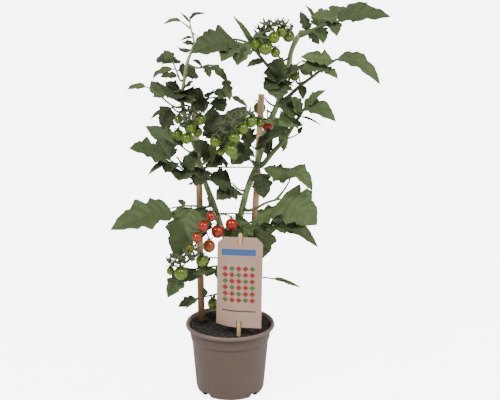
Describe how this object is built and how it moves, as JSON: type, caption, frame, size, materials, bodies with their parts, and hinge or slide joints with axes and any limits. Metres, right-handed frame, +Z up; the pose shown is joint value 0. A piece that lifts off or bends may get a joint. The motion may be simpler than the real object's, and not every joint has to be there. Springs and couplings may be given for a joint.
{
  "type": "cherry tomato plant in a pot",
  "caption": "Young cherry tomato plant on a ladder of two canes, with ripe and unripe trusses, in a round nursery pot with a card label on a splint",
  "frame": {"origin": "centre of the pot's underside, on the pot's axis", "axes": "+Z up, +X to the right of the card label's printed face, +Y away from it"},
  "size_m": [0.379, 0.1909, 0.5792],
  "materials": {
    "pot_plastic": "taupe moulded plastic, satin",
    "potting_soil": "dark peat, crumbly",
    "cane": "split bamboo and turned wood, unvarnished",
    "card": "kraft board with a printed face",
    "splint": "pale bamboo",
    "stem": "green, finely hairy",
    "leaf": "green leaf, veined, paler below",
    "unripe_fruit": "smooth green skin, glossy",
    "ripe_fruit": "smooth red skin, glossy"
  },
  "bodies": {
    "root": {"pot": "pot_plastic", "soil": "potting_soil", "cane_left": "cane", "cane_right": "cane", "rung_low": "cane", "rung_middle": "cane", "rung_top": "cane", "card_label": "card", "splint": "splint", "stem": "stem", "leaf_low_left": "leaf", "leaf_low_right": "leaf", "leaf_behind_label": "leaf", "leaf_fork": "leaf", "leaf_right_middle": "leaf", "leaf_right_upper": "leaf", "leaf_right_top": "leaf", "leaf_top_middle": "leaf", "shoot_tip_left": "leaf", "leaf_left_upper": "leaf", "leaf_left_far": "leaf", "leaf_left_front": "leaf", "leaf_left_inner": "leaf", "leaf_left_arching": "leaf", "leaf_left_middle": "leaf", "leaf_left_pale": "leaf", "leaf_left_big": "leaf", "leaf_centre_back": "leaf", "leaf_centre_front": "leaf", "leaf_centre_low": "leaf", "leaf_right_inner": "leaf", "leaf_right_back": "leaf", "leaf_top_inner": "leaf", "leaf_low_small": "leaf", "leaf_low_back": "leaf", "leaf_low_thin": "leaf", "truss_left": "unripe_fruit", "truss_centre": "unripe_fruit", "truss_top": "unripe_fruit", "truss_ripe": "unripe_fruit", "truss_ripe_tomato_1": "ripe_fruit", "truss_ripe_tomato_2": "ripe_fruit", "truss_ripe_tomato_3": "ripe_fruit", "truss_ripe_tomato_4": "ripe_fruit", "truss_ripe_tomato_5": "ripe_fruit", "truss_ripe_tomato_6": "ripe_fruit", "truss_low": "unripe_fruit", "truss_right": "unripe_fruit", "truss_right_tomato_1": "ripe_fruit", "truss_behind_cane": "unripe_fruit", "truss_upper": "unripe_fruit"}
  },
  "joints": []
}
